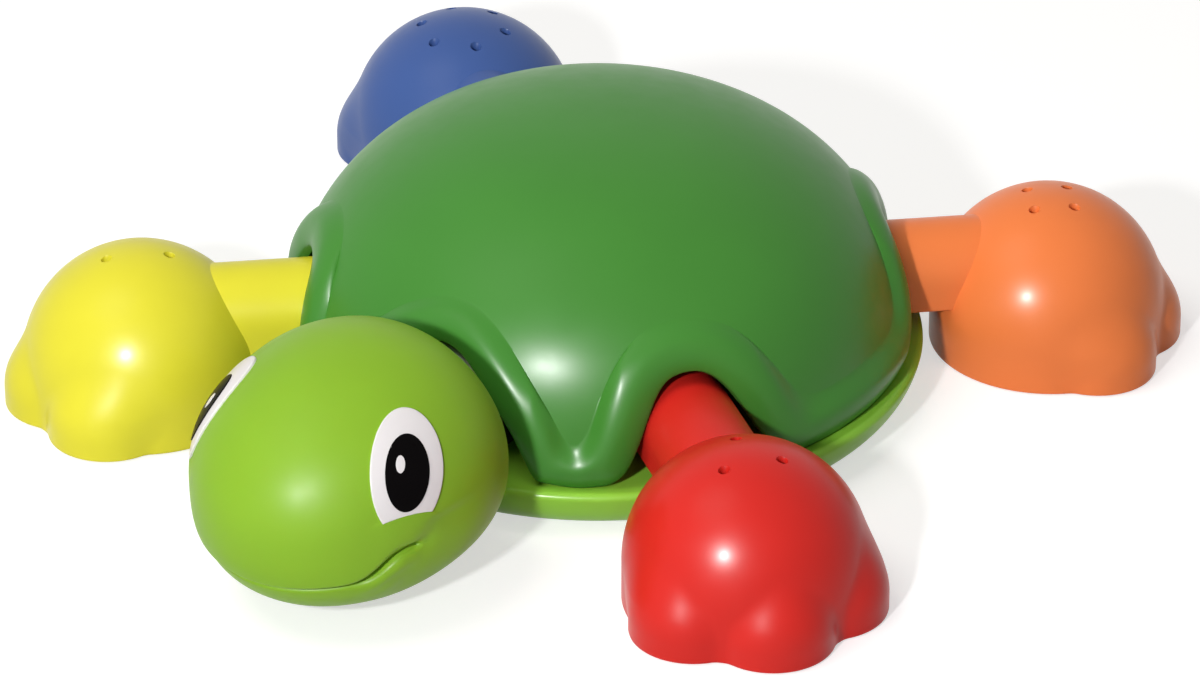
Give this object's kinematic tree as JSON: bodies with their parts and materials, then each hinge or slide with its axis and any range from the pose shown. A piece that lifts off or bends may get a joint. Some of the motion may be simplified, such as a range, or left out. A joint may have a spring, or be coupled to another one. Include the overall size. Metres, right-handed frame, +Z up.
{
  "type": "bath toy",
  "caption": "Bath turtle with a domed, scalloped shell on a floating hull, a soft head that squeaks and scoop feet that slide off their spigots and sprinkle water.",
  "frame": {"origin": "middle of the flat belly, on the surface that the toy stands on", "axes": "+Z up, the head faces -Y, and +X is the turtle's own left side"},
  "size_m": [0.2952, 0.3164, 0.086],
  "materials": {
    "shell_green": "satin moulded plastic",
    "light_green": "satin moulded plastic",
    "soft_green": "soft vinyl, satin",
    "eye_white": "gloss",
    "pupil_black": "gloss",
    "red": "satin moulded plastic",
    "yellow": "satin moulded plastic",
    "orange": "satin moulded plastic",
    "blue": "satin moulded plastic",
    "inner_white": "plain moulded plastic",
    "seal_rubber": "matte",
    "reed_film": "thin film",
    "screw_steel": "stainless"
  },
  "bodies": {
    "turtle": {"shell": "shell_green", "hull": "light_green", "deck": "light_green", "hull_seal": "seal_rubber", "shell_screws": "screw_steel", "head": "soft_green", "eye_white_left": "eye_white", "eye_white_right": "eye_white", "eye_pupil_left": "pupil_black", "eye_pupil_right": "pupil_black", "neck_collar": "inner_white", "neck_clip": "inner_white", "collar_screws": "screw_steel", "squeaker_housing": "inner_white", "squeaker_reed": "reed_film", "squeaker_cap": "inner_white"},
    "front_left_foot": {"cup_front_left": "red"},
    "front_right_foot": {"cup_front_right": "yellow"},
    "rear_left_foot": {"cup_rear_left": "orange"},
    "rear_right_foot": {"cup_rear_right": "blue"}
  },
  "joints": [
    {"name": "front_left_pull", "type": "slide", "parent": "turtle", "child": "front_left_foot", "axis": [0.7694, -0.6388, 0], "range_m": [0, 0.04]},
    {"name": "front_right_pull", "type": "slide", "parent": "turtle", "child": "front_right_foot", "axis": [-0.7694, -0.6388, 0], "range_m": [0, 0.04]},
    {"name": "rear_left_pull", "type": "slide", "parent": "turtle", "child": "rear_left_foot", "axis": [0.7694, 0.6388, 0], "range_m": [0, 0.04]},
    {"name": "rear_right_pull", "type": "slide", "parent": "turtle", "child": "rear_right_foot", "axis": [-0.7694, 0.6388, 0], "range_m": [0, 0.04]}
  ]
}
